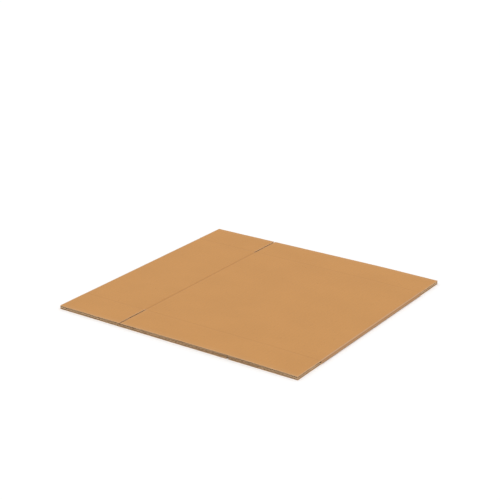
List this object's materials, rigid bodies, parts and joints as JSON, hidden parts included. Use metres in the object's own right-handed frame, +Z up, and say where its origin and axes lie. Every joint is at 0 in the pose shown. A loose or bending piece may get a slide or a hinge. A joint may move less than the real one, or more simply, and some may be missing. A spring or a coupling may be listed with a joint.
{
  "type": "flattened cardboard box",
  "caption": "Corrugated shipping box folded flat: fluted board layers joined at folded sides and a hidden glue tab, with scored and slotted flaps at both ends.",
  "frame": {"origin": "middle of the underside, in the plane that the folded box lies on", "axes": "+X across the panels from fold to fold, +Y along the flutes from flap edge to flap edge, +Z up through both layers"},
  "size_m": [0.5654, 0.544, 0.0093],
  "materials": {
    "kraft_board": "matte"
  },
  "bodies": {
    "root": {"folded_blank": "kraft_board"}
  },
  "joints": []
}
